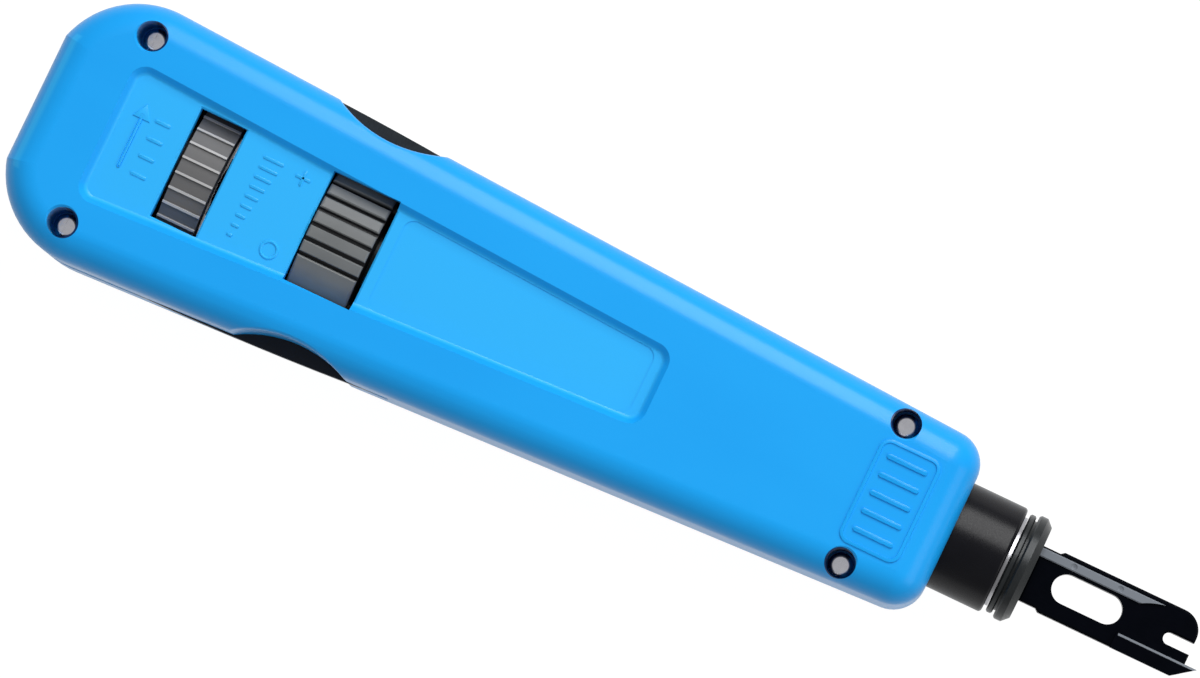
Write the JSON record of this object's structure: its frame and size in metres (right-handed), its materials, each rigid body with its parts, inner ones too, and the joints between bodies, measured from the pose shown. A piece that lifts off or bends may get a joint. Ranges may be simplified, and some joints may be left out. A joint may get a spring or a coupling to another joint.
{
  "type": "punch down tool",
  "caption": "Tapered two-shell handle with two thumbwheels, a sliding plunger head and a forked twist-lock blade that seats and trims telecom wire.",
  "frame": {"origin": "middle of the tool's box, on the surface that it lies on", "axes": "+X along the tool towards the blade tip, +Z out of the face with the upper windows, +Y to the left of +X"},
  "size_m": [0.1766, 0.0374, 0.027],
  "materials": {
    "blue_plastic": "fine satin moulded plastic",
    "grey_plastic": "satin moulded plastic",
    "grey_plastic_light": "satin moulded plastic",
    "black_plastic": "satin moulded plastic",
    "dark_plastic": "matt moulded plastic",
    "black_sleeve": "semi-gloss black",
    "black_steel": "black oxide steel",
    "blade_steel": "glossy black oxide steel",
    "zinc_steel": "zinc plated steel",
    "bright_steel": "bright turned steel",
    "hardened_steel": "hardened ground steel",
    "spring_steel": "spring steel wire"
  },
  "bodies": {
    "housing": {"upper_shell": "blue_plastic", "lower_shell": "blue_plastic", "housing_screws": "zinc_steel", "arm_bushes": "zinc_steel", "storage_tube": "dark_plastic", "storage_socket": "dark_plastic", "thrust_washer": "dark_plastic", "knob_click_spring": "spring_steel", "barrel": "zinc_steel", "nose_bush": "dark_plastic"},
    "storage_wheel": {"storage_wheel": "grey_plastic_light", "storage_lock_plate": "zinc_steel"},
    "impact_knob": {"impact_knob": "grey_plastic", "adjuster_nut": "black_steel"},
    "spring_seat": {"spring_seat": "zinc_steel"},
    "hammer": {"hammer": "hardened_steel", "main_spring": "spring_steel", "sear_spring": "spring_steel", "return_spring": "spring_steel"},
    "sear": {"sear": "hardened_steel"},
    "plunger": {"plunger_head": "black_sleeve", "blade_socket": "bright_steel", "striker_rod": "hardened_steel", "catch_ball": "bright_steel", "catch_ring": "spring_steel"},
    "blade": {"blade_shank": "black_steel", "blade_body": "blade_steel", "cutter_blade": "blade_steel"},
    "spudger": {"spudger": "black_plastic"},
    "wire_hook": {"wire_hook": "black_steel"}
  },
  "joints": [
    {"name": "plunger_press", "type": "slide", "parent": "housing", "child": "plunger", "axis": [1, 0, 0], "range_m": [-0.008, 0], "stiffness_N_per_m": 600, "springref_m": 0.004},
    {"name": "hammer_cock", "type": "slide", "parent": "housing", "child": "hammer", "axis": [1, 0, 0], "range_m": [-0.008, 0], "deforming": ["main_spring"]},
    {"name": "sear_trip", "type": "slide", "parent": "hammer", "child": "sear", "axis": [0, 0, -1], "range_m": [0, 0.0014], "stiffness_N_per_m": 300, "springref_m": -0.001, "deforming": ["sear_spring"]},
    {"name": "impact_set", "type": "hinge", "parent": "housing", "child": "impact_knob", "pos_m": [-0.04197, 0, 0.0135], "axis": [1, 0, 0], "range_deg": [-180, 0]},
    {"name": "seat_adjust", "type": "slide", "parent": "housing", "child": "spring_seat", "axis": [1, 0, 0], "range_m": [0, 0.003]},
    {"name": "storage_lock", "type": "hinge", "parent": "housing", "child": "storage_wheel", "pos_m": [-0.06348, 0, 0.0135], "axis": [1, 0, 0], "range_deg": [0, 90]},
    {"name": "blade_twist", "type": "hinge", "parent": "plunger", "child": "blade", "pos_m": [0.05922, 0, 0.0135], "axis": [1, 0, 0], "range_deg": [0, 90]},
    {"name": "spudger_swing", "type": "hinge", "parent": "housing", "child": "spudger", "pos_m": [-0.07717, -0.0141, 0.0135], "axis": [0, 0, -1], "range_deg": [0, 158]},
    {"name": "hook_swing", "type": "hinge", "parent": "housing", "child": "wire_hook", "pos_m": [-0.07717, 0.0141, 0.0135], "axis": [0, 0, 1], "range_deg": [0, 158]}
  ],
  "couplings": [
    {"joint": "hammer_cock", "follows": "plunger_press", "ratio": 1},
    {"joint": "impact_set", "follows": "seat_adjust", "rad_per_m": -1047.2}
  ]
}
